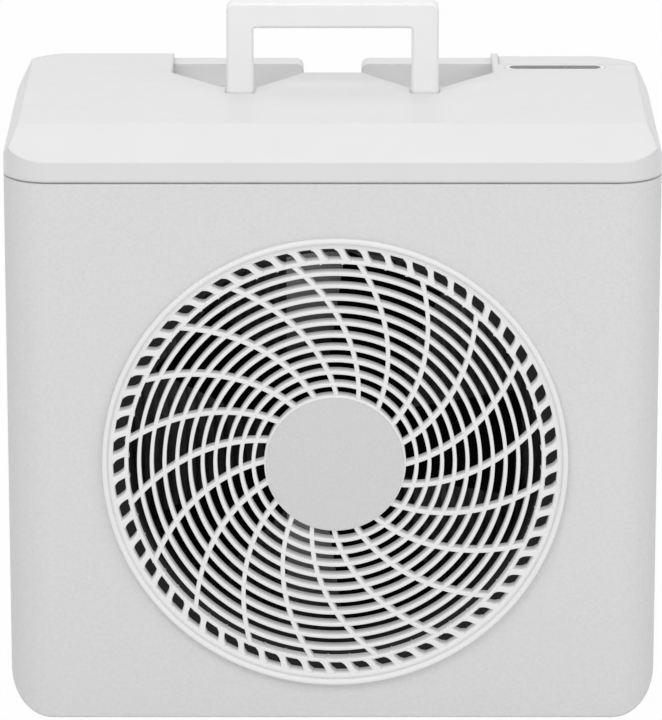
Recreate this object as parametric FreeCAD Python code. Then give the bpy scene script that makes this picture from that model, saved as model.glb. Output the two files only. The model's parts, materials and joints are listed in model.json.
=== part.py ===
import FreeCAD, Part
import math
import os

from FreeCAD import Vector

# Compact fan cabinet with a finned coil, a round spiral-rib grille and a folding carry handle.
# Millimetres, +Z up, front towards -Y. The origin is the bottom centre of the whole object.

# Overall sizes
WIDTH = 367.0
DEPTH = 212.0
BODY_HEIGHT = 313.0
FOOT_HEIGHT = 3.0
CORNER_R = 24.0
WALL = 2.0
TRAY_DEPTH = 30.0
SEAT_GAP = 0.3

# Top cover
SKIRT_HEIGHT = 11.9
COVER_HEIGHT = 25.5
COVER_WALL = 3.0
COVER_CORNER_R = 26.0
REAR_CORNER_R = 40.0
CORNER_STEP = 0.03
SEAM_GAP = 0.8
SEAM_STEP = 1.3
FRONT_BEVEL = 38.0
REAR_BEVEL = 3.0
REAR_BEVEL_DROP = 3.0
SIDE_DRAFT = 7.5

# Handle and its recess, with depths counted back from the front face
HANDLE_WIDTH = 121.0
HANDLE_LEG = 15.4
HANDLE_BAR = 14.6
HANDLE_THICK = 12.0
HANDLE_RISE = 52.2
HANDLE_CORNER_R = 4.5
HANDLE_INNER_R = 1.4
HANDLE_EDGE = 1.2
HANDLE_DEPTH = 116.0
PIVOT_DROP = 8.0
PIN_R = 2.5
PIN_CLEARANCE = 0.05
RECESS_DROP = 16.5
RECESS_HALF_WIDTH = 93.0
RECESS_CLEARANCE = 0.5
TONGUE_HALF_TIP = 17.0
TONGUE_CLEARANCE = 1.2
FINGER_ROOM = 20.0
REAR_RIM_DROP = 3.4
NOTCH_DROP = 14.0
NOTCH_CORNER_R = 4.5

# Controls on the cover
LENS_X = 129.5
LENS_LENGTH = 53.2
LENS_WIDTH = 8.6
BEZEL_BORDER = 2.4
BEZEL_THICK = 4.0
LENS_THICK = 2.0
DISPLAY_DEPTH = 174.0
INSERT_X = 97.0
INSERT_DROP = 3.8
INSERT_THICK = 1.6
BOARD_THICK = 1.6

# Front grille
GRILLE_X = 1.4
GRILLE_Z = 154.3
BEAD_R = 130.8
BEAD_WIDTH = 3.7
BEAD_PROUD = 4.0
GRILLE_THICK = 6.0
GRILLE_PROUD = 1.0
GRILLE_FIT = 0.4
HUB_R = 39.3
HUB_CAP_THICK = 1.6
SLOT_COUNT = 11
SLOT_FIRST_R = 42.3
SLOT_PITCH = 7.14
SLOT_WIDTH = 4.8
RIB_COUNT = 20
RIB_WIDTH = 2.4
RIB_SWEEP = 0.3975
HOLE_COUNT = 60
HOLE_INNER_R = 118.4
HOLE_OUTER_R = 124.2
HOLE_WIDTH = 8.2

# Fan and motor
SHROUD_R = 117.0
SHROUD_WALL = 2.0
SHROUD_DEPTH = 64.0
SHROUD_MOUTH = 22.0
SHROUD_FLANGE_R = 143.0
BLADE_COUNT = 5
BLADE_REACH = 106.0
BLADE_CHORD = 62.0
BLADE_THICK = 2.4
BLADE_PITCH_ROOT = 38.0
BLADE_PITCH_TIP = 26.0
FAN_HUB_R = 36.0
FAN_HUB_FRONT = 20.0
FAN_HUB_LENGTH = 38.0
SHAFT_R = 4.0
SHAFT_CLEARANCE = 0.05
NUT_R = 7.0
NUT_THICK = 6.0
MOTOR_R = 42.0
MOTOR_WALL = 2.5
MOTOR_LENGTH = 46.0
MOTOR_GAP = 6.0
BEARING_R = 11.0
BEARING_WIDTH = 7.0
ROTOR_R = 23.7
AIR_GAP = 0.3
CORE_LENGTH = 24.0
BRACKET_WIDTH = 56.0
BRACKET_THICK = 3.0

# Coil
COIL_GAP = 5.0
COIL_THICK = 24.0
COIL_SIDE_ROOM = 30.0
COIL_TOP_ROOM = 22.0
END_PLATE = 2.0
TUBE_R = 3.5
TUBE_COUNT = 10
FIN_COUNT = 56
FIN_GROOVE = 6.0
FIN_GAP = 2.6
TUBE_STUB = 8.0
BEND_EXTRA_R = 0.6

# Refrigerant and water circuit, behind the coil
PAN_THICK = 1.5
PAN_RIM = 10.0
PAN_CLEARANCE = 0.1
COMPRESSOR_X = 62.0
COMPRESSOR_R = 26.0
COMPRESSOR_HEIGHT = 150.0
COMPRESSOR_BASE_THICK = 3.0
GROMMET_R = 7.0
GROMMET_HEIGHT = 10.0
COMPARTMENT_DEPTH = 178.0
EXCHANGER_X = -100.0
EXCHANGER_R = 26.0
EXCHANGER_HEIGHT = 215.0
PIPE_R = 3.0
PIPE_BEND_R = 14.0
PIPE_RISE = 22.0
SPIGOT_R = 19.0
SPIGOT_BORE_R = 16.0
SPIGOT_NECK_R = 17.8
SPIGOT_PROUD = 30.0
SPIGOT_LOW = 62.0
SPIGOT_HIGH = 182.0
UNION_R = 24.0
UNION_THICK = 8.0

# Rear openings and electrics
INTAKE_X = 40.0
INTAKE_WIDTH = 170.0
INTAKE_LOW = 62.0
INTAKE_HEIGHT = 190.0
INTAKE_BAR = 3.0
INTAKE_PITCH = 10.0
INTAKE_LIP = 6.0
INTAKE_THICK = 4.0
GLAND_X = 122.0
GLAND_Z = 42.0
GLAND_R = 8.0
GLAND_BORE_R = 4.0
GLAND_FLANGE_R = 12.0
BOX_X = 50.0
BOX_LENGTH = 130.0
BOX_DEPTH = 44.0
BOX_HEIGHT = 34.0
BOX_TOP_ROOM = 8.0
CAPACITOR_R = 14.0
CAPACITOR_LENGTH = 36.0
CAPACITOR_GAP = 6.0

# Fasteners and feet
SCREW_R = 1.8
SCREW_HEAD_R = 3.6
SCREW_HEAD = 2.0
SCREW_LENGTH = 10.0
FOOT_R = 13.0
FOOT_INSET_X = 46.0
FOOT_INSET_Y = 34.0

# Places worked out from the sizes
FRONT = -(BEAD_PROUD + DEPTH + SPIGOT_PROUD) / 2 + BEAD_PROUD
REAR = FRONT + DEPTH
BASE_Z = FOOT_HEIGHT
SEAM_Z = BASE_Z + BODY_HEIGHT
TOP_Z = SEAM_Z + COVER_HEIGHT
HALF = WIDTH / 2
FLOOR_Z = BASE_Z + WALL + PAN_THICK
PIVOT_Y = FRONT + HANDLE_DEPTH
PIVOT_Z = TOP_Z - PIVOT_DROP
GRILLE_R = BEAD_R - BEAD_WIDTH + 1
MOTOR_FRONT = FRONT + FAN_HUB_FRONT + FAN_HUB_LENGTH + MOTOR_GAP
MOTOR_REAR = MOTOR_FRONT + MOTOR_LENGTH
COIL_FRONT = MOTOR_REAR + BRACKET_THICK + COIL_GAP
COMPARTMENT_Y = FRONT + COMPARTMENT_DEPTH
EXCHANGER_TOP = FLOOR_Z + EXCHANGER_HEIGHT
COMPRESSOR_FOOT = FLOOR_Z + GROMMET_HEIGHT
COMPRESSOR_TOP = COMPRESSOR_FOOT + COMPRESSOR_BASE_THICK + COMPRESSOR_HEIGHT
DISPLAY_Y = FRONT + DISPLAY_DEPTH
COIL_HALF = HALF - WALL - COIL_SIDE_ROOM
COIL_TOP = SEAM_Z - COIL_TOP_ROOM
REAR_INNER = REAR - WALL
BOX_TOP = SEAM_Z - BOX_TOP_ROOM

X_AXIS, Y_AXIS, Z_AXIS = Vector(1, 0, 0), Vector(0, 1, 0), Vector(0, 0, 1)


def block(x0, x1, y0, y1, z0, z1):
    return Part.makeBox(x1 - x0, y1 - y0, z1 - z0, Vector(x0, y0, z0))


def rod_x(r, y, z, x0, x1):
    return Part.makeCylinder(r, x1 - x0, Vector(x0, y, z), X_AXIS)


def rod_y(r, x, z, y0, y1):
    return Part.makeCylinder(r, y1 - y0, Vector(x, y0, z), Y_AXIS)


def rod_z(r, x, y, z0, z1):
    return Part.makeCylinder(r, z1 - z0, Vector(x, y, z0), Z_AXIS)


def ring_y(outer, inner, x, z, y0, y1):
    return rod_y(outer, x, z, y0, y1).cut(rod_y(inner, x, z, y0 - 1, y1 + 1))


def fuse(shapes):
    return shapes[0].multiFuse(shapes[1:]).removeSplitter() if len(shapes) > 1 else shapes[0]


def prism(points, z0, z1):
    corners = [Vector(x, y, z0) for x, y in points]
    return Part.Face(Part.makePolygon(corners + corners[:1])).extrude(Vector(0, 0, z1 - z0))


def lies_on(edge, **plane):
    return all(abs(getattr(v, axis) - value) < 1e-6 for v in edge.Vertexes for axis, value in plane.items())


def lies_across(edge):
    """True for an edge that runs front to back."""
    return abs(edge.Vertexes[0].Y - edge.Vertexes[-1].Y) > 1


def turned_y(profile, x, z):
    """Solid of a closed (radius, y) profile turned about the fan axis."""
    corners = [Vector(x + r, y, z) for r, y in profile]
    face = Part.Face(Part.makePolygon(corners + corners[:1]))
    return face.revolve(Vector(x, 0, z), Y_AXIS, 360)


def casing_outline(inset, y0, y1, top):
    """Block with the casing's front view: square at the top and rounded at the two bottom corners."""
    solid = block(-HALF + inset, HALF - inset, y0, y1, BASE_Z + inset, top)
    bottom = [e for e in solid.Edges if lies_on(e, Z=BASE_Z + inset) and lies_across(e)]
    return solid.makeFillet(CORNER_R - inset, bottom)


def casing_prism(inset, y0, y1, top):
    """The casing between two depths, with the front view's outline and the plan's rounded corners."""
    return casing_outline(inset, y0, y1, top).common(plan_prism(inset, BASE_Z - 1, top + 1))


def front_panel():
    tray = casing_prism(0, FRONT, FRONT + TRAY_DEPTH, SEAM_Z)
    inside = casing_prism(WALL, FRONT + WALL, FRONT + TRAY_DEPTH + 1, SEAM_Z - WALL)
    opening = rod_y(GRILLE_R + GRILLE_FIT, GRILLE_X, GRILLE_Z, FRONT - 1, FRONT + WALL + 1)
    return tray.cut(inside).cut(opening)


def casing_wrap():
    y0, y1 = FRONT + TRAY_DEPTH, REAR - TRAY_DEPTH
    return casing_prism(0, y0, y1, SEAM_Z).cut(casing_prism(WALL, y0 - 1, y1 + 1, SEAM_Z + 1))


def rear_panel():
    tray = casing_prism(0, REAR - TRAY_DEPTH, REAR, SEAM_Z)
    inside = casing_prism(WALL, REAR - TRAY_DEPTH - 1, REAR_INNER, SEAM_Z - WALL)
    cuts = [
        inside,
        intake_block(0, REAR_INNER - 1, REAR + 1),
        rod_y(GLAND_R, GLAND_X, GLAND_Z, REAR_INNER - 1, REAR + 1),
    ]
    for z in spigot_heights():
        cuts.append(rod_y(SPIGOT_NECK_R + SEAT_GAP, EXCHANGER_X, z, REAR_INNER - 1, REAR + 1))
    cuts += [rod_y(SCREW_R, x, z, REAR_INNER - 1, REAR + 1) for x, z in rear_screw_spots()]
    return tray.cut(Part.makeCompound(cuts))


def rear_screw_spots():
    inset = CORNER_R + 8
    x = HALF - REAR_CORNER_R - SCREW_HEAD_R - 1
    return [(side * x, z) for side in (-1, 1) for z in (BASE_Z + inset / 2, SEAM_Z - inset / 2)]


def rear_screws():
    return [screw_y(x, z, REAR, 1) for x, z in rear_screw_spots()]


def screw_y(x, z, face, side):
    """Screw along Y with its head outside the face; side is +1 when the head faces the back."""
    head = rod_y(SCREW_HEAD_R, x, z, *sorted((face, face + side * SCREW_HEAD)))
    return head.fuse(rod_y(SCREW_R, x, z, *sorted((face - side * SCREW_LENGTH, face))))


def intake_block(grow, y0, y1):
    x0, x1 = INTAKE_X - INTAKE_WIDTH / 2 - grow, INTAKE_X + INTAKE_WIDTH / 2 + grow
    return block(x0, x1, y0, y1, INTAKE_LOW - grow, INTAKE_LOW + INTAKE_HEIGHT + grow)


def rear_grille():
    """Louvred guard behind the rear opening, seated on the panel's inner face."""
    y0, y1 = REAR_INNER - INTAKE_THICK, REAR_INNER
    frame = intake_block(INTAKE_LIP, y0, y1).cut(intake_block(0, y0 - 1, y1 + 1))
    bars = []
    step = INTAKE_PITCH
    count = int(INTAKE_HEIGHT // step)
    margin = (INTAKE_HEIGHT - (count - 1) * step) / 2
    for i in range(count):
        z = INTAKE_LOW + margin + i * step
        x0, x1 = INTAKE_X - INTAKE_WIDTH / 2 - 1, INTAKE_X + INTAKE_WIDTH / 2 + 1
        bars.append(block(x0, x1, y0, y1, z - INTAKE_BAR / 2, z + INTAKE_BAR / 2))
    for x in (INTAKE_X - INTAKE_WIDTH / 4, INTAKE_X, INTAKE_X + INTAKE_WIDTH / 4):
        bars.append(block(x - INTAKE_BAR / 2, x + INTAKE_BAR / 2, y0, y1, INTAKE_LOW - 1,
                          INTAKE_LOW + INTAKE_HEIGHT + 1))
    return fuse([frame] + bars)


def base_pan():
    y0, y1 = FRONT + TRAY_DEPTH, REAR_INNER
    half = HALF - COVER_CORNER_R
    low = BASE_Z + WALL
    tray = block(-half, half, y0, y1, low, low + PAN_RIM)
    pan = tray.cut(block(-half + PAN_THICK, half - PAN_THICK, y0 + PAN_THICK, y1 - PAN_THICK,
                          low + PAN_THICK, low + PAN_RIM + 1))
    return pan.common(plan_prism(WALL + PAN_CLEARANCE, BASE_Z, SEAM_Z))


def foot_spots():
    ys = (FRONT + FOOT_INSET_Y, REAR - FOOT_INSET_Y)
    return [(sx * (HALF - FOOT_INSET_X), y) for sx in (-1, 1) for y in ys]


def feet():
    return [rod_z(FOOT_R, x, y, 0, FOOT_HEIGHT) for x, y in foot_spots()]


def plan_prism(inset, z0, z1):
    """The object's plan, a rectangle with its own corner radii at the front and the back, between two heights."""
    half, y0, y1 = HALF - inset, FRONT + inset, REAR - inset
    step = CORNER_STEP
    solid = block(-half - step, half + step, y0 - step, y1 + step, z0, z1)
    for y, r in ((y0 - step, COVER_CORNER_R), (y1 + step, REAR_CORNER_R)):
        upright = [e for e in solid.Edges if lies_on(e, Y=y) and abs(e.Vertexes[0].Z - e.Vertexes[1].Z) > 1]
        solid = solid.makeFillet(r - inset, upright)
    return solid.common(block(-half, half, y0, y1, z0, z1))


def cover_side_profile(inset, low):
    """Side view of the cover: upright skirt, front bevel, flat top and a small rear bevel."""
    y0, y1 = FRONT + inset, REAR - inset
    top = TOP_Z - inset
    points = [
        (y0, low),
        (y0, SEAM_Z + SKIRT_HEIGHT - inset / 2),
        (FRONT + FRONT_BEVEL, top),
        (REAR - REAR_BEVEL, top),
        (y1, TOP_Z - REAR_BEVEL_DROP - inset / 2),
        (y1, low),
    ]
    corners = [Vector(-HALF - 1, y, z) for y, z in points]
    return Part.Face(Part.makePolygon(corners + corners[:1])).extrude(Vector(WIDTH + 2, 0, 0))


def cover_front_profile(inset, low):
    """Front view of the cover: upright skirt, then sides that lean in towards the flat top."""
    skirt, top = SEAM_Z + SKIRT_HEIGHT, TOP_Z + 1
    lean = SIDE_DRAFT * (top - skirt) / (TOP_Z - skirt)
    half = HALF - inset + CORNER_STEP
    points = mirrored([(half, low), (half, skirt), (half - lean, top)])
    corners = [Vector(x, FRONT - 1, z) for x, z in points]
    return Part.Face(Part.makePolygon(corners + corners[:1])).extrude(Vector(0, DEPTH + 2, 0))


def cover_form(inset, low):
    form = plan_prism(inset, low, TOP_Z + 1).common(cover_side_profile(inset, low))
    return form.common(cover_front_profile(inset, low))


def leg_edges():
    outer = HANDLE_WIDTH / 2 + RECESS_CLEARANCE
    inner = HANDLE_WIDTH / 2 - HANDLE_LEG - RECESS_CLEARANCE
    return outer, inner


def tongue_tip():
    """Back edge of the tongue, just clear of the folded handle's bar."""
    return PIVOT_Y + PIVOT_DROP + HANDLE_RISE - HANDLE_BAR - TONGUE_CLEARANCE


def recess_back():
    return PIVOT_Y + PIVOT_DROP + HANDLE_RISE + FINGER_ROOM


def mirrored(points):
    """Closed outline from its right half, listed from front to back."""
    return points + [(-x, y) for x, y in reversed(points)]


def recess_prism(grow, z0, z1):
    """Handle recess: two leg channels that flare back on both sides of a tongue, and room for the bar."""
    outer, inner = leg_edges()
    front = PIVOT_Y - HANDLE_THICK / 2 - RECESS_CLEARANCE
    leg_back = PIVOT_Y + HANDLE_THICK / 2
    tip = tongue_tip()
    outline = mirrored([
        (outer + grow, front - grow), (outer + grow, leg_back), (RECESS_HALF_WIDTH + grow, tip),
        (RECESS_HALF_WIDTH + grow, recess_back() + grow),
    ])
    tongue = mirrored([
        (inner - grow, front - grow - 1), (inner - grow, leg_back - grow),
        (TONGUE_HALF_TIP - grow, tip - grow),
    ])
    return prism(outline, z0, z1).cut(prism(tongue, z0 - 1, z1 + 1))


def finger_notch():
    """Opening through the recess's rear wall, rounded where it meets the lowered rim."""
    half, r = TONGUE_HALF_TIP, NOTCH_CORNER_R
    rim, y0, y1 = TOP_Z - REAR_RIM_DROP, recess_back() - 1, REAR + 1
    cuts = [block(-half, half, y0, y1, TOP_Z - NOTCH_DROP, TOP_Z + 1)]
    for side in (-1, 1):
        x0, x1 = sorted((side * (half - 1), side * (half + r)))
        corner = block(x0, x1, y0, y1, rim - r, rim + 1)
        cuts.append(corner.cut(rod_y(r + CORNER_STEP, side * (half + r), rim - r, y0 - 1, y1 + 1)))
    return fuse(cuts)


def lowered_rim():
    wide = RECESS_HALF_WIDTH
    return block(-wide, wide, recess_back() - 1, REAR + 1, TOP_Z - REAR_RIM_DROP, TOP_Z + 1)


def display_pocket(grow, z0, z1):
    """Round-ended bar about the lens, grown on every side."""
    r = LENS_WIDTH / 2 + grow
    ends = (LENS_LENGTH - LENS_WIDTH) / 2
    middle = block(LENS_X - ends, LENS_X + ends, DISPLAY_Y - r, DISPLAY_Y + r, z0, z1)
    return fuse([middle] + [rod_z(r, LENS_X + side * ends, DISPLAY_Y, z0, z1) for side in (-1, 1)])


def insert_block(grow, z0, z1):
    """Room for the control insert, from the display's bezel to the cover's back and side."""
    y0 = DISPLAY_Y + LENS_WIDTH / 2 + BEZEL_BORDER + 1
    return block(INSERT_X - grow, HALF + 1, y0 - grow, REAR + 1, z0, z1)


def seam_groove():
    """Shadow gap around the cover's lower edge."""
    low, high = SEAM_Z - 1, SEAM_Z + SEAM_GAP
    return plan_prism(-1, low, high).cut(plan_prism(SEAM_STEP, low - 1, high + 1))


def top_cover():
    floor = TOP_Z - RECESS_DROP
    shell = cover_form(0, SEAM_Z).cut(cover_form(COVER_WALL, SEAM_Z - 1))
    well = recess_prism(COVER_WALL, floor - COVER_WALL, TOP_Z - 1).common(cover_form(1, SEAM_Z))
    seat_floor = TOP_Z - BEZEL_THICK - COVER_WALL
    display_seat = display_pocket(BEZEL_BORDER + COVER_WALL, seat_floor, TOP_Z - 1)
    rear_wall = recess_rear_wall().common(cover_form(1, SEAM_Z))
    insert_floor = TOP_Z - INSERT_DROP - COVER_WALL
    insert_seat = insert_block(COVER_WALL, insert_floor, TOP_Z - 1).common(cover_form(1, SEAM_Z))
    body = fuse([shell, well, display_seat, rear_wall, insert_seat]).cut(seam_groove())
    pivots = [rod_x(PIN_R, PIVOT_Y, PIVOT_Z, *span) for span in pin_spans()]
    cuts = [
        recess_prism(0, floor, TOP_Z + 1),
        finger_notch(),
        lowered_rim(),
        display_pocket(BEZEL_BORDER, TOP_Z - BEZEL_THICK, TOP_Z + 1),
        display_pocket(-1, SEAM_Z, TOP_Z),
        insert_block(0, TOP_Z - INSERT_DROP, TOP_Z + 1),
    ]
    return body.cut(Part.makeCompound(cuts)).cut(Part.makeCompound(pivots))


def recess_rear_wall():
    """Solid behind the recess, which the lowered rim and the finger notch are cut into."""
    wide = RECESS_HALF_WIDTH + COVER_WALL
    return block(-wide, wide, recess_back(), REAR, TOP_Z - NOTCH_DROP - COVER_WALL, TOP_Z - 1)


def pin_spans():
    outer, inner = leg_edges()
    reach = COVER_WALL + 1
    return [(inner - reach, outer + reach), (-outer - reach, -inner + reach)]


def handle_pins():
    return [rod_x(PIN_R, PIVOT_Y, PIVOT_Z, *span) for span in pin_spans()]


def handle():
    half = HANDLE_WIDTH / 2
    top = TOP_Z + HANDLE_RISE
    y0, y1 = PIVOT_Y - HANDLE_THICK / 2, PIVOT_Y + HANDLE_THICK / 2
    bail = block(-half, half, y0, y1, PIVOT_Z, top)
    inner = half - HANDLE_LEG
    bail = bail.cut(block(-inner, inner, y0 - 1, y1 + 1, PIVOT_Z - 1, top - HANDLE_BAR))
    across = [e for e in bail.Edges if lies_across(e)]
    bail = bail.makeFillet(HANDLE_CORNER_R, [e for e in across if lies_on(e, Z=top)])
    across = [e for e in bail.Edges if lies_on(e, Z=top - HANDLE_BAR) and lies_across(e)]
    bail = bail.makeFillet(HANDLE_INNER_R, across)
    rims = [e for e in bail.Edges if (lies_on(e, Y=y0) or lies_on(e, Y=y1)) and not lies_on(e, Z=PIVOT_Z)]
    bail = bail.makeChamfer(HANDLE_EDGE, rims)
    eyes = [rod_x(HANDLE_THICK / 2, PIVOT_Y, PIVOT_Z, *sorted((s * inner, s * half))) for s in (-1, 1)]
    return fuse([bail] + eyes).cut(rod_x(PIN_R + PIN_CLEARANCE, PIVOT_Y, PIVOT_Z, -half - 1, half + 1))


def display_bezel():
    frame = display_pocket(BEZEL_BORDER, TOP_Z - BEZEL_THICK, TOP_Z)
    window = display_pocket(0, TOP_Z - LENS_THICK, TOP_Z + 1)
    return frame.cut(window).cut(display_pocket(-1, TOP_Z - BEZEL_THICK - 1, TOP_Z))


def display_lens():
    return display_pocket(0, TOP_Z - LENS_THICK, TOP_Z)


def display_board():
    low = TOP_Z - BEZEL_THICK - COVER_WALL
    return display_pocket(BEZEL_BORDER, low - BOARD_THICK, low)


def control_insert():
    low = TOP_Z - INSERT_DROP
    return insert_block(-SEAT_GAP / 2, low, low + INSERT_THICK).common(cover_form(0, SEAM_Z))


def rib_angle(r):
    return math.radians(RIB_SWEEP * (r - SLOT_FIRST_R))


def grille_point(r, angle, y):
    return Vector(GRILLE_X + r * math.cos(angle), y, GRILLE_Z + r * math.sin(angle))


def opening_wire(inner, outer, start, end, y):
    """Closed wire of one opening: two arcs about the grille's axis, joined by two slanted lines.
    start and end give the opening's sides as functions of the radius."""
    def arc(r, a, b):
        ends = [grille_point(r, turn, y) for turn in (a, (a + b) / 2, b)]
        return Part.Arc(*ends).toShape()

    def side(a, b):
        return Part.LineSegment(grille_point(inner, a, y), grille_point(outer, b, y)).toShape()

    return Part.Wire([
        arc(inner, start(inner), end(inner)),
        side(end(inner), end(outer)),
        arc(outer, end(outer), start(outer)),
        side(start(inner), start(outer)),
    ])


def rib_half_angle(r):
    slope = r * math.radians(RIB_SWEEP)
    return RIB_WIDTH / 2 * math.hypot(1, slope) / r


def slot_wires(y):
    wires = []
    step = 2 * math.pi / RIB_COUNT
    for i in range(SLOT_COUNT):
        middle = SLOT_FIRST_R + i * SLOT_PITCH
        for k in range(RIB_COUNT):
            def start(r, turn=k * step):
                return turn + rib_angle(r) + rib_half_angle(r)

            def end(r, turn=(k + 1) * step):
                return turn + rib_angle(r) - rib_half_angle(r)

            wires.append(opening_wire(middle - SLOT_WIDTH / 2, middle + SLOT_WIDTH / 2, start, end, y))
    return wires


def hole_wires(y):
    wires = []
    step = 2 * math.pi / HOLE_COUNT
    for k in range(HOLE_COUNT):
        def start(r, turn=k * step):
            return turn + rib_angle(r) - HOLE_WIDTH / 2 / r

        def end(r, turn=k * step):
            return turn + rib_angle(r) + HOLE_WIDTH / 2 / r

        wires.append(opening_wire(HOLE_INNER_R, HOLE_OUTER_R, start, end, y))
    return wires


def front_grille():
    y0 = FRONT - GRILLE_PROUD
    centre = Vector(GRILLE_X, y0, GRILLE_Z)
    outline = Part.Wire(Part.Circle(centre, Y_AXIS, GRILLE_R).toShape())
    sheet = Part.makeFace([outline] + slot_wires(y0) + hole_wires(y0), "Part::FaceMakerBullseye")
    plate = sheet.extrude(Vector(0, GRILLE_THICK, 0))
    bead = ring_y(BEAD_R, BEAD_R - BEAD_WIDTH, GRILLE_X, GRILLE_Z, FRONT - BEAD_PROUD, FRONT)
    return plate.fuse(bead)


def hub_cap():
    y1 = FRONT - GRILLE_PROUD
    return rod_y(HUB_R - 0.6, GRILLE_X, GRILLE_Z, y1 - HUB_CAP_THICK, y1)


def fan_shroud():
    """Bell mouth and duct around the blades, with a flange on the panel's inner face."""
    y0 = FRONT + WALL
    mouth = GRILLE_R + GRILLE_FIT + 3
    profile = [
        (SHROUD_FLANGE_R, y0), (SHROUD_FLANGE_R, y0 + SHROUD_WALL), (mouth + SHROUD_WALL, y0 + SHROUD_WALL),
        (SHROUD_R + SHROUD_WALL, FRONT + SHROUD_MOUTH), (SHROUD_R + SHROUD_WALL, FRONT + SHROUD_DEPTH),
        (SHROUD_R, FRONT + SHROUD_DEPTH), (SHROUD_R, FRONT + SHROUD_MOUTH), (mouth, y0),
    ]
    bell = turned_y(profile, GRILLE_X, GRILLE_Z)
    holes = [rod_y(SCREW_R, x, z, y0 - 1, y0 + SHROUD_WALL + 1) for x, z in shroud_screw_spots()]
    return bell.cut(Part.makeCompound(holes))


def shroud_screw_spots():
    r = (SHROUD_FLANGE_R + GRILLE_R) / 2 + 2
    angles = [math.radians(a) for a in (45, 135, 225, 315)]
    return [(GRILLE_X + r * math.cos(a), GRILLE_Z + r * math.sin(a)) for a in angles]


def shroud_screws():
    face = FRONT + WALL + SHROUD_WALL
    heads = []
    for x, z in shroud_screw_spots():
        head = rod_y(SCREW_HEAD_R, x, z, face, face + SCREW_HEAD)
        heads.append(head.fuse(rod_y(SCREW_R, x, z, face - SHROUD_WALL, face)))
    return heads


def blade(turn):
    """One twisted blade between two tilted sections, from inside the hub to the tip."""
    middle = FRONT + FAN_HUB_FRONT + FAN_HUB_LENGTH / 2

    def section(reach, pitch, chord):
        c, s = math.cos(math.radians(pitch)), math.sin(math.radians(pitch))
        half, thin = chord / 2, BLADE_THICK / 2
        corners = [(-half, -thin), (half, -thin), (half, thin), (-half, thin)]
        x = GRILLE_X + reach
        points = [Vector(x, middle + a * s + b * c, GRILLE_Z + a * c - b * s) for a, b in corners]
        return Part.makePolygon(points + points[:1])

    root = section(FAN_HUB_R - 6, BLADE_PITCH_ROOT, BLADE_CHORD * 0.6)
    tip = section(BLADE_REACH, BLADE_PITCH_TIP, BLADE_CHORD)
    solid = Part.makeLoft([root, tip], True, True)
    solid.rotate(Vector(GRILLE_X, 0, GRILLE_Z), Y_AXIS, turn)
    return solid


def impeller():
    y0 = FRONT + FAN_HUB_FRONT
    hub = rod_y(FAN_HUB_R, GRILLE_X, GRILLE_Z, y0, y0 + FAN_HUB_LENGTH)
    hub = hub.makeFillet(6, [e for e in hub.Edges if lies_on(e, Y=y0)])
    blades = [blade(k * 360 / BLADE_COUNT) for k in range(BLADE_COUNT)]
    bore = rod_y(SHAFT_R, GRILLE_X, GRILLE_Z, y0 - 1, y0 + FAN_HUB_LENGTH + 1)
    return fuse([hub] + blades).cut(bore)


def impeller_nut():
    y1 = FRONT + FAN_HUB_FRONT
    turns = [math.radians(60 * k) for k in range(6)]
    points = [(NUT_R * math.cos(turn), NUT_R * math.sin(turn)) for turn in turns]
    corners = [Vector(GRILLE_X + x, y1 - NUT_THICK, GRILLE_Z + z) for x, z in points]
    nut = Part.Face(Part.makePolygon(corners + corners[:1])).extrude(Vector(0, NUT_THICK, 0))
    return nut.cut(rod_y(SHAFT_R, GRILLE_X, GRILLE_Z, y1 - NUT_THICK - 1, y1 + 1))


def motor_shaft():
    y0 = FRONT + FAN_HUB_FRONT - NUT_THICK
    return rod_y(SHAFT_R, GRILLE_X, GRILLE_Z, y0, MOTOR_REAR - MOTOR_WALL - SEAT_GAP)


def motor_housing():
    """Can with the front bearing's seat in its face; open at the back."""
    face = MOTOR_FRONT + BEARING_WIDTH
    can = rod_y(MOTOR_R, GRILLE_X, GRILLE_Z, MOTOR_FRONT, motor_split())
    inside = rod_y(MOTOR_R - MOTOR_WALL, GRILLE_X, GRILLE_Z, face, motor_split() + 1)
    seat = rod_y(BEARING_R, GRILLE_X, GRILLE_Z, MOTOR_FRONT - 1, face + 1)
    return can.cut(inside).cut(seat)


def motor_split():
    return MOTOR_REAR - MOTOR_WALL - BEARING_WIDTH


def motor_end_cap():
    cap = rod_y(MOTOR_R, GRILLE_X, GRILLE_Z, motor_split(), MOTOR_REAR)
    return cap.cut(rod_y(BEARING_R, GRILLE_X, GRILLE_Z, motor_split() - 1, MOTOR_REAR - MOTOR_WALL))


def bearing(y0):
    return ring_y(BEARING_R, SHAFT_R + SHAFT_CLEARANCE, GRILLE_X, GRILLE_Z, y0, y0 + BEARING_WIDTH)


def core_span():
    middle = (MOTOR_FRONT + BEARING_WIDTH + motor_split()) / 2
    return middle - CORE_LENGTH / 2, middle + CORE_LENGTH / 2


def motor_stator():
    return ring_y(MOTOR_R - MOTOR_WALL, ROTOR_R + AIR_GAP, GRILLE_X, GRILLE_Z, *core_span())


def motor_rotor():
    return ring_y(ROTOR_R, SHAFT_R, GRILLE_X, GRILLE_Z, *core_span())


def motor_bracket():
    """Upright strap behind the motor with a foot on the base pan."""
    x0, x1 = GRILLE_X - BRACKET_WIDTH / 2, GRILLE_X + BRACKET_WIDTH / 2
    strap = block(x0, x1, MOTOR_REAR, MOTOR_REAR + BRACKET_THICK, FLOOR_Z, SEAM_Z - COIL_TOP_ROOM)
    foot = block(x0, x1, MOTOR_REAR - MOTOR_LENGTH / 2, MOTOR_REAR, FLOOR_Z, FLOOR_Z + BRACKET_THICK)
    return strap.fuse(foot).removeSplitter()


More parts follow.
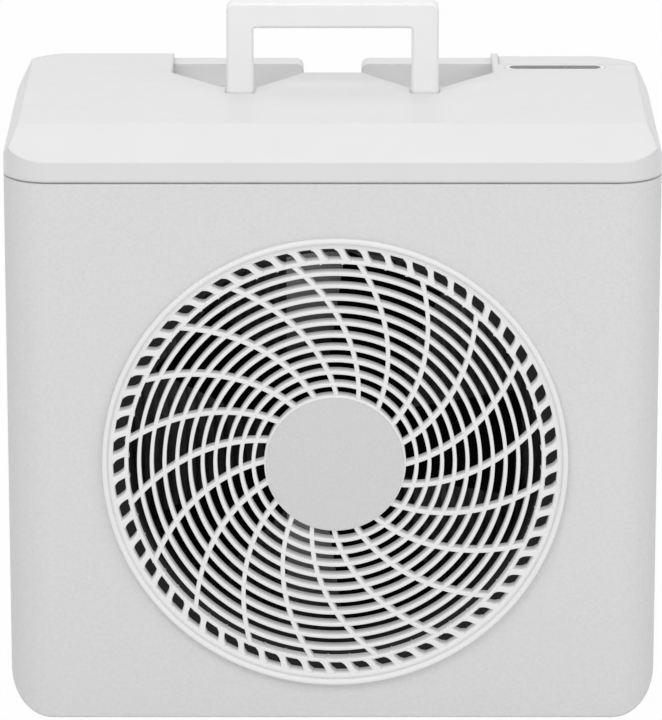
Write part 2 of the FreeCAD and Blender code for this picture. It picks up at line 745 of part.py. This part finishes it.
def motor_screws():
    face = MOTOR_REAR + BRACKET_THICK
    screws = []
    for sx in (-1, 1):
        for sz in (-1, 1):
            spot = BRACKET_WIDTH / 2 - 2 * SCREW_HEAD_R
            x, z = GRILLE_X + sx * spot, GRILLE_Z + sz * spot
            screws.append(rod_y(SCREW_HEAD_R, x, z, face, face + SCREW_HEAD))
    return screws


def tube_heights():
    pitch = (COIL_TOP - FLOOR_Z) / TUBE_COUNT
    return [FLOOR_Z + pitch * (i + 0.5) for i in range(TUBE_COUNT)]


def coil_middle():
    return COIL_FRONT + COIL_THICK / 2


def coil_fins():
    """Fin stack with open grooves on its front face, bored for the tubes."""
    stack = block(-COIL_HALF, COIL_HALF, COIL_FRONT, COIL_FRONT + COIL_THICK, FLOOR_Z, COIL_TOP)
    pitch = 2 * COIL_HALF / FIN_COUNT
    grooves = []
    for i in range(FIN_COUNT):
        x = -COIL_HALF + pitch * (i + 0.5)
        grooves.append(block(x - FIN_GAP / 2, x + FIN_GAP / 2, COIL_FRONT - 1, COIL_FRONT + FIN_GROOVE,
                             FLOOR_Z + 2, COIL_TOP - 2))
    bores = [rod_x(TUBE_R, coil_middle(), z, -COIL_HALF - 1, COIL_HALF + 1) for z in tube_heights()]
    return stack.cut(Part.makeCompound(grooves)).cut(Part.makeCompound(bores))


def coil_end_plates():
    plates = []
    for sx in (-1, 1):
        x0, x1 = sorted((sx * COIL_HALF, sx * (COIL_HALF + END_PLATE)))
        plate = block(x0, x1, COIL_FRONT, COIL_FRONT + COIL_THICK, FLOOR_Z, COIL_TOP)
        bores = [rod_x(TUBE_R, coil_middle(), z, x0 - 1, x1 + 1) for z in tube_heights()]
        plates.append(plate.cut(Part.makeCompound(bores)))
    return plates


def bend_x():
    return COIL_HALF + END_PLATE + TUBE_STUB


def bend_r():
    return TUBE_R + BEND_EXTRA_R


def coil_tubes():
    """Straight tubes joined in pairs by return bends outside the end plates."""
    reach = bend_x()
    heights = tube_heights()
    y = coil_middle()
    straights = [rod_x(TUBE_R, y, z, -reach, reach) for z in heights]
    bends = []
    for i, (low, high) in enumerate(zip(heights, heights[1:])):
        side = 1 if i % 2 == 0 else -1
        bends.append(rod_z(bend_r(), side * reach, y, low - bend_r(), high + bend_r()))
    return fuse(straights + bends)


def compressor_spots():
    r = COMPRESSOR_R - GROMMET_R
    angles = [math.radians(a) for a in (90, 210, 330)]
    return [(COMPRESSOR_X + r * math.cos(a), COMPARTMENT_Y + r * math.sin(a)) for a in angles]


def compressor_grommets():
    return [rod_z(GROMMET_R, x, y, FLOOR_Z, COMPRESSOR_FOOT) for x, y in compressor_spots()]


def compressor_base():
    return rod_z(COMPRESSOR_R, COMPRESSOR_X, COMPARTMENT_Y, COMPRESSOR_FOOT,
                 COMPRESSOR_FOOT + COMPRESSOR_BASE_THICK)


def compressor():
    z0 = COMPRESSOR_FOOT + COMPRESSOR_BASE_THICK
    can = rod_z(COMPRESSOR_R, COMPRESSOR_X, COMPARTMENT_Y, z0, COMPRESSOR_TOP)
    return can.makeFillet(10, [e for e in can.Edges if lies_on(e, Z=COMPRESSOR_TOP)])


def heat_exchanger():
    tank = rod_z(EXCHANGER_R, EXCHANGER_X, COMPARTMENT_Y, FLOOR_Z, EXCHANGER_TOP)
    tank = tank.makeFillet(6, [e for e in tank.Edges if lies_on(e, Z=EXCHANGER_TOP)])
    bores = [rod_y(SPIGOT_NECK_R, EXCHANGER_X, z, COMPARTMENT_Y, REAR) for z in spigot_heights()]
    return tank.cut(Part.makeCompound(bores))


def spigot_heights():
    return FLOOR_Z + SPIGOT_LOW, FLOOR_Z + SPIGOT_HIGH


def spigot(z):
    """Hose spigot from the heat exchanger out through the rear panel."""
    neck = rod_y(SPIGOT_NECK_R, EXCHANGER_X, z, COMPARTMENT_Y, REAR + UNION_THICK)
    end = rod_y(SPIGOT_R, EXCHANGER_X, z, REAR + UNION_THICK, REAR + SPIGOT_PROUD)
    bore = rod_y(SPIGOT_BORE_R, EXCHANGER_X, z, COMPARTMENT_Y - 1, REAR + SPIGOT_PROUD + 1)
    return neck.fuse(end).cut(bore)


def union_nuts():
    face = REAR + UNION_THICK
    return [ring_y(UNION_R, SPIGOT_NECK_R, EXCHANGER_X, z, REAR, face) for z in spigot_heights()]


def pipe(points):
    """Round pipe of straight runs joined by tangent arcs, with flat ends."""
    edges = []
    last = points[0]
    for before, corner, after in zip(points, points[1:], points[2:]):
        back = (before - corner).normalize()
        ahead = (after - corner).normalize()
        start = corner + back * PIPE_BEND_R
        end = corner + ahead * PIPE_BEND_R
        centre = corner + (back + ahead) * PIPE_BEND_R
        middle = centre + (corner - centre).normalize() * PIPE_BEND_R
        edges.append(Part.LineSegment(last, start).toShape())
        edges.append(Part.Arc(start, middle, end).toShape())
        last = end
    edges.append(Part.LineSegment(last, points[-1]).toShape())
    path = Part.Wire(edges)
    heading = (points[1] - points[0]).normalize()
    ring = Part.Wire(Part.Circle(points[0], heading, PIPE_R).toShape())
    return path.makePipeShell([ring], True, True)


def discharge_pipe():
    """From the compressor's top over to the heat exchanger's top."""
    high = EXCHANGER_TOP + PIPE_RISE
    y = COMPARTMENT_Y
    return pipe([
        Vector(COMPRESSOR_X, y, COMPRESSOR_TOP), Vector(COMPRESSOR_X, y, high),
        Vector(EXCHANGER_X, y, high), Vector(EXCHANGER_X, y, EXCHANGER_TOP),
    ])


def suction_pipe():
    """From the coil's upper end round to the compressor's upper side."""
    x = bend_x()
    z = tube_heights()[-1]
    low = COMPRESSOR_TOP - 30
    y = COMPARTMENT_Y
    return pipe([
        Vector(x, coil_middle() + bend_r(), z), Vector(x, y, z), Vector(x, y, low),
        Vector(COMPRESSOR_X + COMPRESSOR_R, y, low),
    ])


def control_box():
    x0, x1 = BOX_X - BOX_LENGTH / 2, BOX_X + BOX_LENGTH / 2
    y0, y1 = REAR_INNER - BOX_DEPTH, REAR_INNER
    box = block(x0, x1, y0, y1, BOX_TOP - BOX_HEIGHT, BOX_TOP)
    floor = BOX_TOP - BOX_HEIGHT + WALL
    return box.cut(block(x0 + WALL, x1 - WALL, y0 + WALL, y1 - WALL, floor, BOX_TOP + 1))


def control_board():
    x0, x1 = BOX_X - BOX_LENGTH / 2 + WALL, BOX_X + BOX_LENGTH / 2 - WALL
    y0, y1 = REAR_INNER - BOX_DEPTH + WALL, REAR_INNER - WALL
    low = BOX_TOP - BOX_HEIGHT + WALL
    board = block(x0, x1, y0, y1, low, low + BOARD_THICK)
    relay = block(BOX_X - 10, BOX_X + 10, y0 + 4, y0 + 20, low + BOARD_THICK, low + BOARD_THICK + 14)
    return board.fuse(relay).removeSplitter()


def run_capacitor():
    """Fan capacitor on the inner face of the rear panel, beside the control box."""
    x = BOX_X - BOX_LENGTH / 2 - CAPACITOR_GAP - CAPACITOR_R
    z = BOX_TOP - BOX_HEIGHT / 2
    return rod_y(CAPACITOR_R, x, z, REAR_INNER - CAPACITOR_LENGTH, REAR_INNER)


def cable_gland():
    flange = rod_y(GLAND_FLANGE_R, GLAND_X, GLAND_Z, REAR, REAR + 4)
    neck = rod_y(GLAND_R, GLAND_X, GLAND_Z, REAR_INNER - 6, REAR + 12)
    bore = rod_y(GLAND_BORE_R, GLAND_X, GLAND_Z, REAR_INNER - 7, REAR + 13)
    return flange.fuse(neck).cut(bore).removeSplitter()


def pieces():
    """Every sub-part by name: one solid, or a list of separate solids for a group."""
    low, high = spigot_heights()
    return {
        "front_panel": front_panel(),
        "front_grille": front_grille(),
        "grille_hub_cap": hub_cap(),
        "casing_wrap": casing_wrap(),
        "rear_panel": rear_panel(),
        "rear_grille": rear_grille(),
        "rear_screws": rear_screws(),
        "base_pan": base_pan(),
        "feet": feet(),
        "top_cover": top_cover(),
        "handle": handle(),
        "handle_pins": handle_pins(),
        "display_bezel": display_bezel(),
        "display_lens": display_lens(),
        "display_board": display_board(),
        "control_insert": control_insert(),
        "fan_shroud": fan_shroud(),
        "shroud_screws": shroud_screws(),
        "impeller": impeller(),
        "impeller_nut": impeller_nut(),
        "motor_shaft": motor_shaft(),
        "motor_rotor": motor_rotor(),
        "motor_stator": motor_stator(),
        "front_bearing": bearing(MOTOR_FRONT),
        "rear_bearing": bearing(motor_split()),
        "motor_housing": motor_housing(),
        "motor_end_cap": motor_end_cap(),
        "motor_bracket": motor_bracket(),
        "motor_screws": motor_screws(),
        "coil_fins": coil_fins(),
        "coil_end_plates": coil_end_plates(),
        "coil_tubes": coil_tubes(),
        "compressor": compressor(),
        "compressor_base": compressor_base(),
        "compressor_grommets": compressor_grommets(),
        "discharge_pipe": discharge_pipe(),
        "suction_pipe": suction_pipe(),
        "heat_exchanger": heat_exchanger(),
        "water_inlet": spigot(low),
        "water_outlet": spigot(high),
        "union_nuts": union_nuts(),
        "control_box": control_box(),
        "control_board": control_board(),
        "run_capacitor": run_capacitor(),
        "cable_gland": cable_gland(),
    }


def export(name, shape):
    solids = shape if isinstance(shape, list) else [shape]
    for solid in solids:
        if not solid.isValid():
            raise ValueError(name + " is not a valid solid")
    whole = Part.makeCompound(solids) if len(solids) > 1 else solids[0]
    whole.exportStep(os.path.join("parts", name + ".step"))
    print(name, len(whole.Solids), round(whole.Volume))


os.makedirs("parts", exist_ok=True)
for piece, form in pieces().items():
    export(piece, form)
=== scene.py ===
import json
import math

import bpy
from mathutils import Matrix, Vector


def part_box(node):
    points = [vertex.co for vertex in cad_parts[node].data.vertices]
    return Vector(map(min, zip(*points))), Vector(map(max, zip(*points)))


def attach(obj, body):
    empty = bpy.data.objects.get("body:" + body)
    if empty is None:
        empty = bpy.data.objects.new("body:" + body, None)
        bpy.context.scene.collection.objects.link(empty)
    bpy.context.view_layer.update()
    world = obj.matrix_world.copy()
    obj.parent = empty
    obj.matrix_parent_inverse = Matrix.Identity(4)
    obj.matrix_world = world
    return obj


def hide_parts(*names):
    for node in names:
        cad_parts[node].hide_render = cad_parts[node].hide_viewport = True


# Looks of a compact fan cabinet with a round spiral-rib grille. Metres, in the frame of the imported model.

MM = 0.001

# Camera: where it stands seen from the front face's middle, and how it is aimed
CAMERA_DISTANCE = 3.10
CAMERA_ELEVATION = 17.24
CAMERA_PITCH = 16.27
CAMERA_TARGET_Z = 0.160
CAMERA_SIDE = -0.0009
FOCAL_PER_WIDTH = 5523.3 / 662
SENSOR_WIDTH = 36.0

# Stage: how bright the surroundings light the object, and how much of the floor shows as plain white
WORLD_LIGHT = 0.60
FLOOR_WHITE = 0.97
FLOOR_GREY = 0.82
FLOOR_ROUGH = 0.8
FLOOR_REACH = 12.0
LIGHT_TARGET = (0, 0, 0.2)
# Each light's name, size, power in watts and place
LIGHTS = (
    ("key", (1.6, 1.2), 17.0, (-0.7, -1.5, 1.9)),
    ("fill", (1.6, 1.2), 9.0, (1.3, -1.4, 1.3)),
    ("top", (1.4, 1.4), 7.2, (0.0, 0.3, 2.2)),
)

# Grille, in millimetres from its axis; depths are counted back from the front panel's face
RING_COUNT = 12
FIRST_SLOT_R = 42.3
SLOT_PITCH = 7.14
SLOT_WIDTH = 5.0
RING_FRONT = -0.6
RING_BACK = 7.5
RIB_COUNT = 20
RIB_WIDTH = 2.4
RIB_FRONT = -0.45
RIB_BACK = 6.8
RIB_SWEEP = math.radians(0.3975)
WEB_SWEEP = math.radians(0.24)
HUB_R = 39.3
HOLE_COUNT = 60
HOLE_INNER_R = 117.9
HOLE_OUTER_R = 124.9
WEB_WIDTH = 3.1
WEB_FLARE = 3.0
WEB_FRONT = -1.1
BEAD_R = 130.8
BEAD_HALF = 1.35
BEAD_TOP = -4.0
RING_EDGE_R = 0.7
BAR_EDGE_R = 0.55
BAND_EDGE_R = 0.5
AROUND = 360


def srgb(level):
    """Linear value of a display grey from 0 to 255."""
    v = level / 255
    return v / 12.92 if v <= 0.04045 else ((v + 0.055) / 1.055) ** 2.4


# ---------------------------------------------------------------- materials

class Nodes:
    """A small helper around one material's node tree."""

    def __init__(self, name):
        self.material = bpy.data.materials.new(name)
        self.material.use_nodes = True
        self.tree = self.material.node_tree
        self.shader = self.tree.nodes["Principled BSDF"]

    def add(self, kind, **values):
        node = self.tree.nodes.new(kind)
        for key, value in values.items():
            if key in node.inputs:
                node.inputs[key].default_value = value
            else:
                setattr(node, key, value)
        return node

    def link(self, out_node, out_name, in_node, in_name):
        self.tree.links.new(out_node.outputs[out_name], in_node.inputs[in_name])

    def noise(self, scale, detail=2.0, roughness=0.5):
        coordinates = self.add("ShaderNodeTexCoord")
        node = self.add("ShaderNodeTexNoise", Scale=scale, Detail=detail, Roughness=roughness)
        self.link(coordinates, "Object", node, "Vector")
        return node

    def ramp(self, source, low, high, low_value, high_value):
        node = self.add("ShaderNodeMapRange")
        node.inputs["From Min"].default_value = low
        node.inputs["From Max"].default_value = high
        node.inputs["To Min"].default_value = low_value
        node.inputs["To Max"].default_value = high_value
        self.link(source, "Fac", node, "Value")
        return node

    def shade(self, source, colour, spread):
        """Base colour that wanders a little around its value."""
        factor = self.ramp(source, 0.3, 0.7, 0.0, 1.0)
        mix = self.add("ShaderNodeMix", data_type="RGBA")
        dark = [c * (1 - spread) for c in colour]
        light = [min(1.0, c * (1 + spread)) for c in colour]
        mix.inputs[6].default_value = (*dark, 1)
        mix.inputs[7].default_value = (*light, 1)
        self.link(factor, "Result", mix, "Factor")
        self.tree.links.new(mix.outputs[2], self.shader.inputs["Base Color"])

    def gloss(self, source, low, high):
        rough = self.ramp(source, 0.3, 0.7, low, high)
        self.link(rough, "Result", self.shader, "Roughness")

    def surface(self, source, depth, edge=0.0):
        """Fine relief, on top of edges softened by the given radius in metres."""
        bump = self.add("ShaderNodeBump", Strength=1.0, Distance=depth)
        self.link(source, "Fac", bump, "Height")
        if edge:
            bevel = self.add("ShaderNodeBevel", Radius=edge)
            bevel.samples = 6
            self.link(bevel, "Normal", bump, "Normal")
        self.link(bump, "Normal", self.shader, "Normal")


def grey(level, warm=0.0):
    v = srgb(level)
    return (v * (1 + warm), v, v * (1 - warm))


def plastic(name, colour, rough=(0.32, 0.42), grain=900.0, depth=0.00002, spread=0.015, edge=0.0,
            specular=0.4, glow=0.0):
    """Moulded plastic; glow is painted light, an emission that brightens walls lying in shade, standing in
    for the light that a thin white wall lets through.
    """
    n = Nodes(name)
    n.shader.inputs["Emission Color"].default_value = (1, 1, 1, 1)
    # Painted light: emission makes the plastic glow without any lamp.
    n.shader.inputs["Emission Strength"].default_value = glow
    n.shader.inputs["Specular IOR Level"].default_value = specular
    n.shade(n.noise(35.0, 3.0), colour, spread)
    n.gloss(n.noise(120.0, 3.0), *rough)
    n.surface(n.noise(grain, 4.0), depth, edge)
    return n.material


def powder_coat():
    """Matt paint with the fine orange-peel grain of a powder coat."""
    n = Nodes("powder_coat")
    n.shader.inputs["Specular IOR Level"].default_value = 0.3
    n.shade(n.noise(480.0, 5.0, 0.7), grey(215), 0.045)
    n.gloss(n.noise(300.0, 3.0), 0.5, 0.62)
    n.surface(n.noise(1100.0, 6.0, 0.65), 0.00014, 0.0016)
    return n.material


def hub_texture():
    """Spark-eroded grey plastic of the grille's middle."""
    n = Nodes("hub_texture")
    n.shader.inputs["Specular IOR Level"].default_value = 0.25
    n.shade(n.noise(700.0, 5.0, 0.7), grey(207), 0.05)
    n.gloss(n.noise(300.0, 3.0), 0.5, 0.65)
    n.surface(n.noise(1500.0, 5.0, 0.7), 0.00012, 0.0004)
    return n.material


def metal(name, colour, rough=(0.25, 0.4), stretch=(40.0, 900.0, 40.0)):
    n = Nodes(name)
    n.shader.inputs["Metallic"].default_value = 1.0
    coordinates = n.add("ShaderNodeTexCoord")
    mapping = n.add("ShaderNodeMapping", Scale=stretch)
    grain = n.add("ShaderNodeTexNoise", Scale=1.0, Detail=3.0)
    n.link(coordinates, "Object", mapping, "Vector")
    n.link(mapping, "Vector", grain, "Vector")
    n.shade(grain, colour, 0.08)
    n.gloss(grain, *rough)
    n.surface(grain, 0.00003)
    return n.material


def glossy_lens():
    """Dark smoked window over the display; its grey base is partly the smoked tint and partly painted
    reflection of the bright surroundings at a grazing angle, with the real reflection turned down.
    """
    n = Nodes("display_glass")
    n.shader.inputs["Specular IOR Level"].default_value = 0.2
    n.shade(n.noise(60.0, 2.0), grey(86), 0.08)
    n.gloss(n.noise(90.0, 2.0), 0.18, 0.28)
    n.surface(n.noise(200.0, 2.0), 0.000005)
    return n.material


def fin_metal_painted_shade():
    """Edge of the thin fins behind the fan; their aluminium is painted dark grey as painted shade for the
    shadow inside the cabinet.
    """
    n = Nodes("fin_metal_painted_shade")
    n.shader.inputs["Metallic"].default_value = 0.6
    # Grey 85 is painted shade; the bare aluminium itself is lighter.
    n.shade(n.noise(250.0, 3.0), grey(85), 0.15)
    n.gloss(n.noise(200.0, 2.0), 0.35, 0.55)
    n.surface(n.noise(900.0, 2.0), 0.00003)
    return n.material


def circuit_board():
    n = Nodes("circuit_board")
    n.shade(n.noise(400.0, 2.0), (0.02, 0.10, 0.04), 0.2)
    n.gloss(n.noise(300.0, 2.0), 0.3, 0.45)
    n.surface(n.noise(600.0, 2.0), 0.00003)
    return n.material


def make_materials():
    return {
        "panel": powder_coat(),
        "cover": plastic("cover_plastic", grey(218), (0.3, 0.38), 500.0, 0.00001, 0.008, 0.0022),
        # The grille glows at 0.24 as painted light on its shaded slot walls, and its base grey is lowered to
        # match.
        "grille": plastic("grille_plastic", grey(196), (0.35, 0.45), 800.0, 0.00001, 0.01, 0.0, 0.25, 0.24),
        "hub": hub_texture(),
        "handle": plastic("handle_plastic", grey(234), (0.3, 0.38), 600.0, 0.00001, 0.006, 0.001),
        # Display lens: its grey base is smoked tint plus painted reflection.
        "lens": glossy_lens(),
        "board": circuit_board(),
        "fan": plastic("fan_plastic", grey(5), (0.65, 0.75), 500.0, 0.00003, 0.05, 0.0, 0.04),
        "shroud": plastic("shroud_plastic", grey(66), (0.5, 0.6), 500.0, 0.00003, 0.03, 0.0, 0.25),
        "dark_paint": plastic("dark_paint", grey(26), (0.4, 0.5), 300.0, 0.00003, 0.06, 0.0005, 0.3),
        "steel": metal("zinc_steel", grey(180)),
        "sheet": metal("galvanised_sheet", grey(150), (0.35, 0.5), (90.0, 90.0, 90.0)),
        # The fins carry painted shade: their aluminium is darkened for the shadowed inside of the cabinet.
        "fins": fin_metal_painted_shade(),
        "copper": metal("copper", (0.75, 0.36, 0.2), (0.2, 0.35)),
        "rubber": plastic("rubber", grey(40), (0.7, 0.85), 400.0, 0.00006, 0.06, 0.0008, 0.2),
        "pipe": plastic("pipe_plastic", grey(88), (0.35, 0.48), 500.0, 0.00003, 0.03, 0.0008),
    }


SLOT_MATERIALS = {
    "panel_white": "panel", "cover_white": "cover", "grille_white": "grille", "hub_grey": "hub",
    "handle_white": "handle", "display_black": "lens", "board_green": "board", "fan_black": "fan",
    "shroud_grey": "shroud", "motor_steel": "dark_paint", "steel": "steel", "galvanised": "sheet",
    "fin_aluminium": "fins", "copper": "copper", "rubber": "rubber", "compressor_black": "dark_paint",
    "pipe_plastic": "pipe",
}


def paint_frame(frame, materials):
    """Gives each CAD node the material of its slot."""
    for part in frame["record"]["subparts"]:
        node = frame["nodes"][part["node"]]
        node.data.materials.clear()
        node.data.materials.append(materials[SLOT_MATERIALS[part["material_slot"]]])


# ---------------------------------------------------------------- geometry helpers

def new_piece(name, vertices, faces, material, smooth=True):
    mesh = bpy.data.meshes.new(name)
    mesh.from_pydata(vertices, [], faces)
    mesh.validate()
    mesh.update()
    mesh.materials.append(material)
    mesh.polygons.foreach_set("use_smooth", [smooth] * len(mesh.polygons))
    piece = bpy.data.objects.new(name, mesh)
    bpy.context.scene.collection.objects.link(piece)
    return piece


class Builder:
    """Collects closed bodies swept from one section into a single mesh."""

    def __init__(self):
        self.vertices = []
        self.faces = []

    def sweep(self, rows, closed):
        """rows is a list of rings of points; neighbouring rings are joined, and open ends are capped."""
        start = len(self.vertices)
        width = len(rows[0])
        for row in rows:
            self.vertices.extend(row)
        last = len(rows) if closed else len(rows) - 1
        for i in range(last):
            a = start + i * width
            b = start + (i + 1) % len(rows) * width
            for j in range(width):
                k = (j + 1) % width
                self.faces.append((a + j, a + k, b + k, b + j))
        if not closed:
            end = start + (len(rows) - 1) * width
            self.faces.append(tuple(start + j for j in reversed(range(width))))
            self.faces.append(tuple(end + j for j in range(width)))


def rounded_section(half, front, back, radius, steps=4):
    """Closed outline (offset, depth) of a bar whose two front edges are rounded."""
    points = [(-half, back)]
    for side, first in ((-1, 180), (1, 90)):
        for i in range(steps + 1):
            a = math.radians(first - 90 * i / steps)
            across = side * (half - radius) + radius * math.cos(a)
            points.append((across, front + radius - radius * math.sin(a)))
    points.append((half, back))
    return points


class Grille:
    """Places points given by radius, angle and depth, in millimetres and radians."""

    def __init__(self):
        low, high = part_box("front_grille")
        self.x = (low.x + high.x) / 2
        self.z = (low.z + high.z) / 2
        self.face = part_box("front_panel")[0].y

    def point(self, r, angle, depth):
        return (self.x + r * MM * math.cos(angle), self.face + depth * MM, self.z + r * MM * math.sin(angle))

    def turned(self, builder, profile):
        rows = []
        for i in range(AROUND):
            a = 2 * math.pi * i / AROUND
            rows.append([self.point(r, a, d) for r, d in profile])
        builder.sweep(rows, True)

    def bar(self, builder, inner, outer, start, sweep, half_width, front, back, steps):
        """Bar along the spiral between two radii; half_width gives its half width along its run."""
        rows = []
        for i in range(steps + 1):
            t = i / steps
            r = inner + (outer - inner) * t
            a = start + sweep * (r - FIRST_SLOT_R)
            slope = sweep * r
            length = math.hypot(1, slope)
            radial, around = -slope / length, 1 / length
            row = []
            for offset, depth in rounded_section(half_width(t), front, back, BAR_EDGE_R):
                rr = r + offset * radial
                aa = a + offset * around / r
                row.append(self.point(rr, aa, depth))
            rows.append(row)
        builder.sweep(rows, False)


def ring_profile(middle, half, front, back, radius):
    return [(middle + offset, depth) for offset, depth in rounded_section(half, front, back, radius)]


def build_grille(material):
    grille = Grille()
    builder = Builder()
    for i in range(RING_COUNT):
        middle = FIRST_SLOT_R + (i - 0.5) * SLOT_PITCH
        half = (SLOT_PITCH - SLOT_WIDTH) / 2
        grille.turned(builder, ring_profile(middle, half, RING_FRONT, RING_BACK, RING_EDGE_R))
    for k in range(RIB_COUNT):
        start = 2 * math.pi * k / RIB_COUNT
        grille.bar(builder, HUB_R - 1, HOLE_INNER_R, start, RIB_SWEEP, rib_half_width,
                   RIB_FRONT, RIB_BACK, 28)
    for k in range(HOLE_COUNT):
        start = 2 * math.pi * (k + 0.5) / HOLE_COUNT
        grille.bar(builder, HOLE_INNER_R - 1, HOLE_OUTER_R + 1, start, WEB_SWEEP, web_half_width,
                   WEB_FRONT + 0.2, RING_BACK, 10)
    grille.turned(builder, inner_band())
    grille.turned(builder, rim_profile())
    grille.turned(builder, hub_seat())
    piece = new_piece("front_grille_detail", builder.vertices, builder.faces, material)
    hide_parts("front_grille")
    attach(piece, "cabinet")
    return piece


def rib_half_width(t):
    return RIB_WIDTH / 2


def web_half_width(t):
    return (WEB_WIDTH + WEB_FLARE * abs(2 * t - 1) ** 3) / 2


def inner_band():
    last_slot = FIRST_SLOT_R + (RING_COUNT - 2) * SLOT_PITCH + SLOT_WIDTH / 2
    middle = (HOLE_INNER_R + last_slot) / 2
    half = HOLE_INNER_R - middle
    return ring_profile(middle, half, WEB_FRONT + 0.1, RING_BACK, BAND_EDGE_R)


def rim_profile():
    """Section of the rim: flat band outside the holes, a narrow groove and the raised round bead."""
    top, bead = BEAD_TOP, BEAD_HALF
    centre = BEAD_R - bead
    points = [(HOLE_OUTER_R, RING_BACK), (HOLE_OUTER_R, -0.7), (HOLE_OUTER_R + 0.4, WEB_FRONT)]
    points += [(centre - bead - 0.25, WEB_FRONT), (centre - bead - 0.2, -0.4), (centre - bead, -0.4)]
    for i in range(9):
        a = math.radians(180 - 22.5 * i)
        points.append((centre + bead * math.cos(a), top + bead - bead * math.sin(a)))
    points += [(BEAD_R, 0.0), (HOLE_OUTER_R + 1.4, 0.0), (HOLE_OUTER_R + 1.4, RING_BACK)]
    return points


def hub_seat():
    """Disc edge that the hub cap sits in."""
    return [(0.5, 3.0), (0.5, -0.9), (HUB_R - 1.2, -0.9), (HUB_R - 0.5, -1.6), (HUB_R, -0.9), (HUB_R, 5.0),
            (HUB_R - 2, 5.0), (HUB_R - 2, 3.0)]


# ---------------------------------------------------------------- stage

def light(name, size, energy, place, target):
    data = bpy.data.lights.new(name, "AREA")
    data.shape = "RECTANGLE"
    data.size, data.size_y = size
    data.energy = energy
    lamp = bpy.data.objects.new(name, data)
    lamp.location = place
    lamp.rotation_euler = (Vector(target) - Vector(place)).to_track_quat("-Z", "Y").to_euler()
    bpy.context.scene.collection.objects.link(lamp)


def seen_directly(tree):
    """1 for camera, glossy and transmitted rays."""
    path = tree.nodes.new("ShaderNodeLightPath")
    first = tree.nodes.new("ShaderNodeMath")
    first.operation = "MAXIMUM"
    second = tree.nodes.new("ShaderNodeMath")
    second.operation = "MAXIMUM"
    tree.links.new(path.outputs["Is Camera Ray"], first.inputs[0])
    tree.links.new(path.outputs["Is Glossy Ray"], first.inputs[1])
    tree.links.new(first.outputs[0], second.inputs[0])
    tree.links.new(path.outputs["Is Transmission Ray"], second.inputs[1])
    return second.outputs[0]


def build_world():
    world = bpy.data.worlds.new("studio")
    bpy.context.scene.world = world
    world.use_nodes = True
    tree = world.node_tree
    ambient = tree.nodes["Background"]
    ambient.inputs["Color"].default_value = (1, 1, 1, 1)
    ambient.inputs["Strength"].default_value = WORLD_LIGHT
    shown = tree.nodes.new("ShaderNodeBackground")
    shown.inputs["Strength"].default_value = 1.0
    shown.inputs["Color"].default_value = (1, 1, 1, 1)
    mix = tree.nodes.new("ShaderNodeMixShader")
    tree.links.new(seen_directly(tree), mix.inputs[0])
    tree.links.new(ambient.outputs[0], mix.inputs[1])
    tree.links.new(shown.outputs[0], mix.inputs[2])
    tree.links.new(mix.outputs[0], tree.nodes["World Output"].inputs["Surface"])


def build_floor():
    n = Nodes("floor_white")
    n.shader.inputs["Roughness"].default_value = FLOOR_ROUGH
    n.shader.inputs["Base Color"].default_value = (FLOOR_GREY, FLOOR_GREY, FLOOR_GREY, 1)
    glow = n.add("ShaderNodeEmission", Color=(1, 1, 1, 1), Strength=1.0)
    share = n.add("ShaderNodeMath", operation="MULTIPLY")
    share.inputs[1].default_value = FLOOR_WHITE
    n.tree.links.new(seen_directly(n.tree), share.inputs[0])
    mix = n.add("ShaderNodeMixShader")
    n.tree.links.new(share.outputs[0], mix.inputs[0])
    n.tree.links.new(n.shader.outputs[0], mix.inputs[1])
    n.tree.links.new(glow.outputs[0], mix.inputs[2])
    n.tree.links.new(mix.outputs[0], n.tree.nodes["Material Output"].inputs["Surface"])
    reach = FLOOR_REACH
    corners = [(-reach, -reach, 0), (reach, -reach, 0), (reach, reach, 0), (-reach, reach, 0)]
    floor = new_piece("floor", corners, [(0, 1, 2, 3)], n.material, False)


def build_lights():
    for name, size, energy, place in LIGHTS:
        light(name, size, energy, place, LIGHT_TARGET)


def build_camera():
    data = bpy.data.cameras.new("camera")
    data.sensor_width = SENSOR_WIDTH
    data.sensor_fit = "HORIZONTAL"
    data.lens = FOCAL_PER_WIDTH * SENSOR_WIDTH
    data.clip_end = 50.0
    camera = bpy.data.objects.new("camera", data)
    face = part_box("front_panel")[0].y
    e = math.radians(CAMERA_ELEVATION)
    camera.location = (CAMERA_SIDE, face - CAMERA_DISTANCE * math.cos(e),
                       CAMERA_TARGET_Z + CAMERA_DISTANCE * math.sin(e))
    camera.rotation_euler = (math.radians(90 - CAMERA_PITCH), 0, 0)
    bpy.context.scene.collection.objects.link(camera)
    bpy.context.scene.camera = camera


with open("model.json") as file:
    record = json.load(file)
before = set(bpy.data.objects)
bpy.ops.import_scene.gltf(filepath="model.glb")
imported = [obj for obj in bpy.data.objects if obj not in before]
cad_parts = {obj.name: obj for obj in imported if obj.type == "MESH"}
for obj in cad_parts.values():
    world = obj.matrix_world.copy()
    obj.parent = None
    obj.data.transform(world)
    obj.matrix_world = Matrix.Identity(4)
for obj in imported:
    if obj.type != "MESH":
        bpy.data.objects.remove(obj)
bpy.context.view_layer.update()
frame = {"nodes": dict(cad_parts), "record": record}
materials = make_materials()
paint_frame(frame, materials)
build_grille(materials["grille"])
build_world()
build_floor()
build_lights()
build_camera()
scene = bpy.context.scene
scene.view_settings.view_transform = "Standard"
